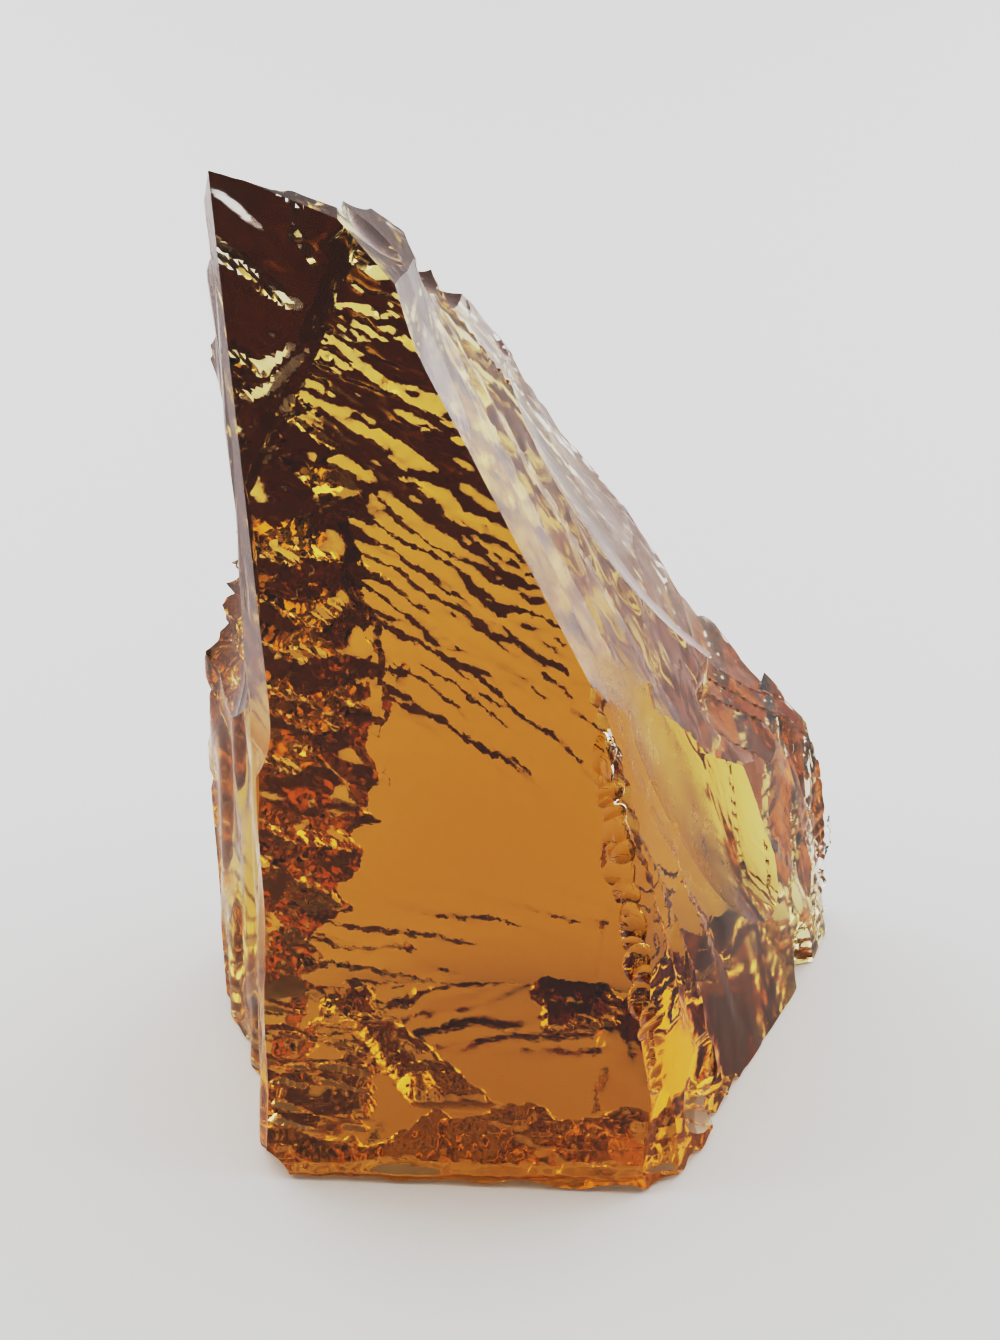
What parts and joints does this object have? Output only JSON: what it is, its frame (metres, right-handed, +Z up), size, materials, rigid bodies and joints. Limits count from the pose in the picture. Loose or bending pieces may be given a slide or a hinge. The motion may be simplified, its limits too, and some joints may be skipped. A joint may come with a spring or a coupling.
{
  "type": "andara crystal",
  "caption": "Tall broken piece of clear amber glass with sharp shell-like fracture faces, standing on its flat underside.",
  "frame": {"origin": "on the flat underside, below the middle of the bounding box", "axes": "+Z up to the tip, -Y out of the broad flat front face, +X towards the low chunk at the right"},
  "size_m": [0.0638, 0.0508, 0.0955],
  "materials": {
    "amber_glass": "clear amber glass, fire-bright on the broken faces, a little frosted where the edges are chipped"
  },
  "bodies": {
    "root": {"crystal": "amber_glass"}
  },
  "joints": []
}
